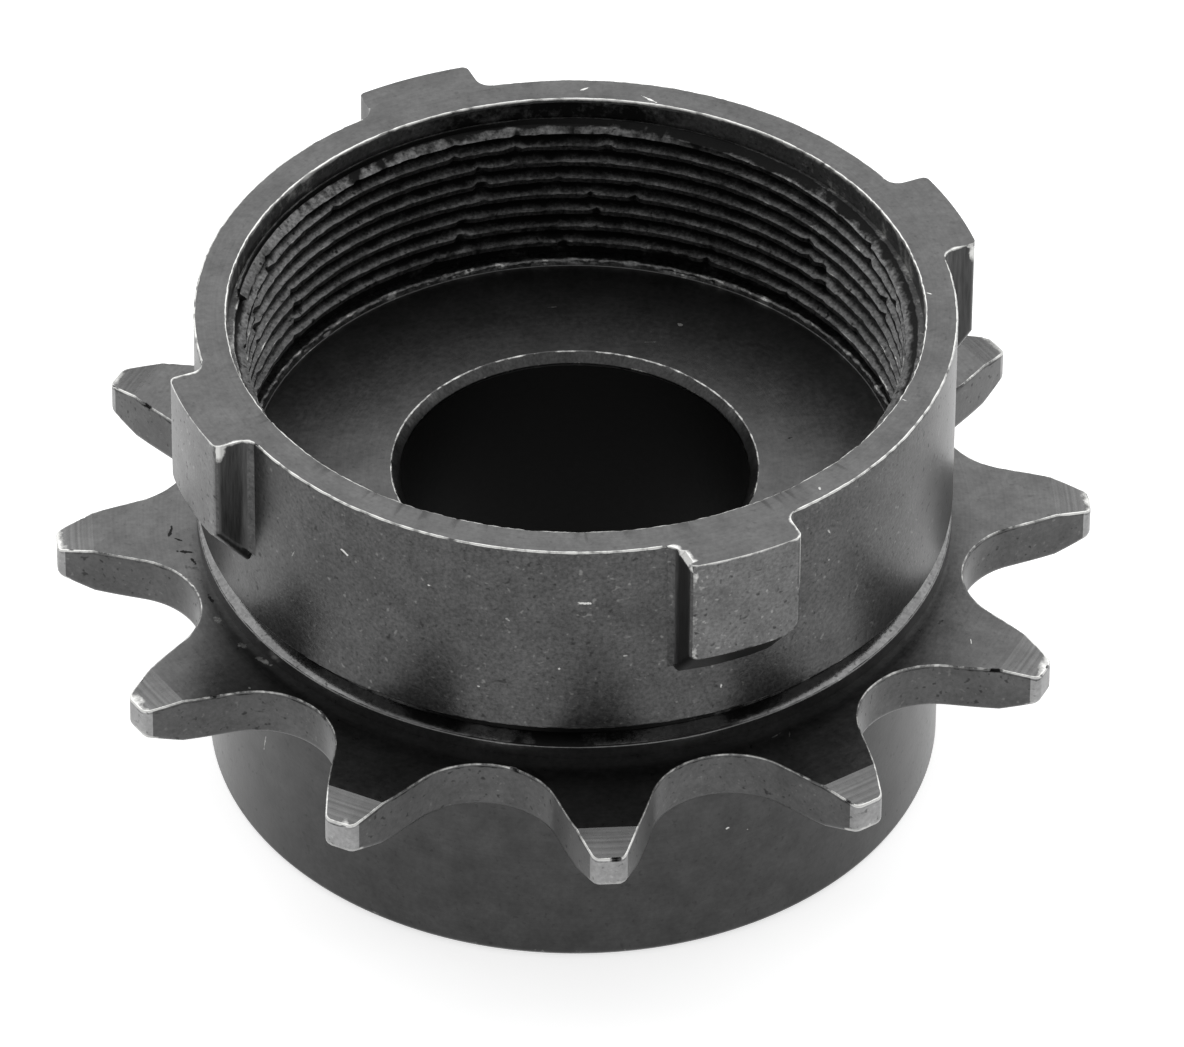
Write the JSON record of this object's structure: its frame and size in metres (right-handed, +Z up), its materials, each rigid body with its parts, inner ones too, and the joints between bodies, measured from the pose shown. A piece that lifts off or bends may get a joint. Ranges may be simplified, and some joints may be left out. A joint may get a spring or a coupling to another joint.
{
  "type": "screw-on rear wheel sprocket",
  "caption": "Small screw-on chain sprocket in one piece: toothed disc on a short drum, under a threaded cup whose rim carries lugs, with a through bore.",
  "frame": {"origin": "centre of the drum's base face, on the bore axis", "axes": "+Z up along the bore axis, from the drum's base to the mouth of the threaded cup; +X through the middle of one tooth"},
  "size_m": [0.0536, 0.0536, 0.0273],
  "materials": {
    "sprocket": "blackened steel, satin, with bright worn edges"
  },
  "bodies": {
    "root": {"sprocket": "sprocket"}
  },
  "joints": []
}
